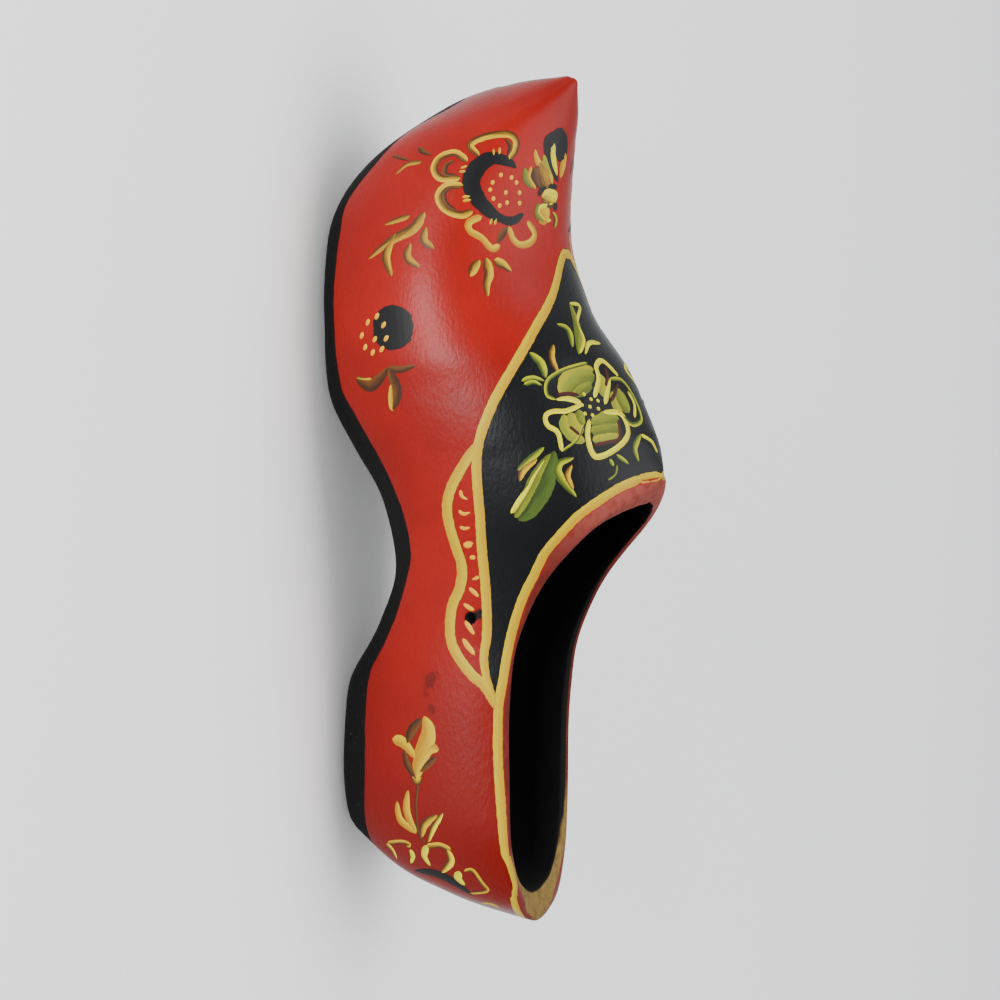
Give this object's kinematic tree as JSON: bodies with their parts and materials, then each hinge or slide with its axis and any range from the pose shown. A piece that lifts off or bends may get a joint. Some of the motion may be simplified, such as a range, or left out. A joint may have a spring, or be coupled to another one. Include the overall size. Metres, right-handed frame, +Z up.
{
  "type": "wooden clog",
  "caption": "Hollow wooden clog carved whole from a block, with an upturned pointed toe, high instep, open collar and arched sole, painted red and black with flowers.",
  "frame": {"origin": "on the floor, under the middle of the clog's box", "axes": "+X towards the toe, +Y towards the inner side of the right foot, +Z up"},
  "size_m": [0.28, 0.105, 0.1075],
  "materials": {
    "painted_wood": "satin"
  },
  "bodies": {
    "root": {"clog_body": "painted_wood"}
  },
  "joints": []
}
